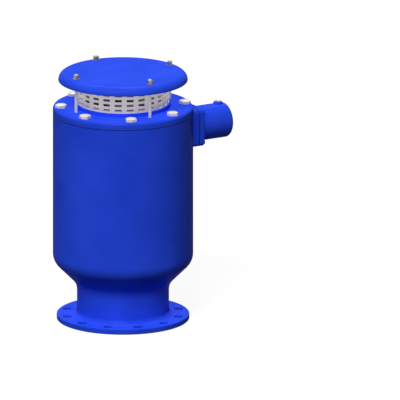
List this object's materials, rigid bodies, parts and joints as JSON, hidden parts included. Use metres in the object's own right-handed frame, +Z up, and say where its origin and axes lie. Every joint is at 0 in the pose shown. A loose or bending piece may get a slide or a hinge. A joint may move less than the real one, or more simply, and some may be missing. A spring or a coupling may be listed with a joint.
{
  "type": "air release valve",
  "caption": "Flanged combination air release valve: a large orifice shut by a ball float under a weather cap, and a small lever-float chamber on its side.",
  "frame": {"origin": "centre of the inlet flange's face, where it bolts to the pipe", "axes": "+Z up along the valve's axis, +X out along the side chamber"},
  "size_m": [0.484, 0.36, 0.6656],
  "materials": {
    "blue_paint": "gloss epoxy coat",
    "zinc_steel": "bright zinc",
    "plain_steel": "oiled, uncoated",
    "stainless_steel": "satin",
    "seal_rubber": "matte",
    "gasket_sheet": "matte",
    "float_plastic": "matte"
  },
  "bodies": {
    "valve": {"valve_body": "blue_paint", "cover_gasket": "gasket_sheet", "top_cover": "blue_paint", "cover_bolts": "zinc_steel", "orifice_seat": "seal_rubber", "seat_clamp_ring": "stainless_steel", "guide_rods": "stainless_steel", "float_rest_ring": "stainless_steel", "rest_ring_nuts": "stainless_steel", "vent_screen": "stainless_steel", "weather_cap": "blue_paint", "cap_studs": "zinc_steel", "cap_washers": "plain_steel", "cap_nuts": "plain_steel", "side_chamber": "blue_paint", "chamber_gasket": "gasket_sheet", "chamber_bolts": "blue_paint", "vent_nozzle": "stainless_steel", "nozzle_washer": "seal_rubber", "nozzle_lock_nut": "stainless_steel", "lever_bracket": "stainless_steel", "pivot_pin": "zinc_steel", "pin_clips": "zinc_steel"},
    "main_float": {"main_float_upper_shell": "stainless_steel", "main_float_lower_shell": "stainless_steel", "main_float_weld_bead": "stainless_steel"},
    "float_arm": {"lever_arm": "stainless_steel", "seal_pad": "seal_rubber", "small_float": "float_plastic", "float_stem_nut": "stainless_steel"}
  },
  "joints": [
    {"name": "main_float_lift", "type": "slide", "parent": "valve", "child": "main_float", "axis": [0, 0, 1], "range_m": [0, 0.12]},
    {"name": "float_arm_swing", "type": "hinge", "parent": "valve", "child": "float_arm", "pos_m": [0.2905, 0, 0.5015], "axis": [0, 1, 0], "range_deg": [0, 32.7]}
  ]
}
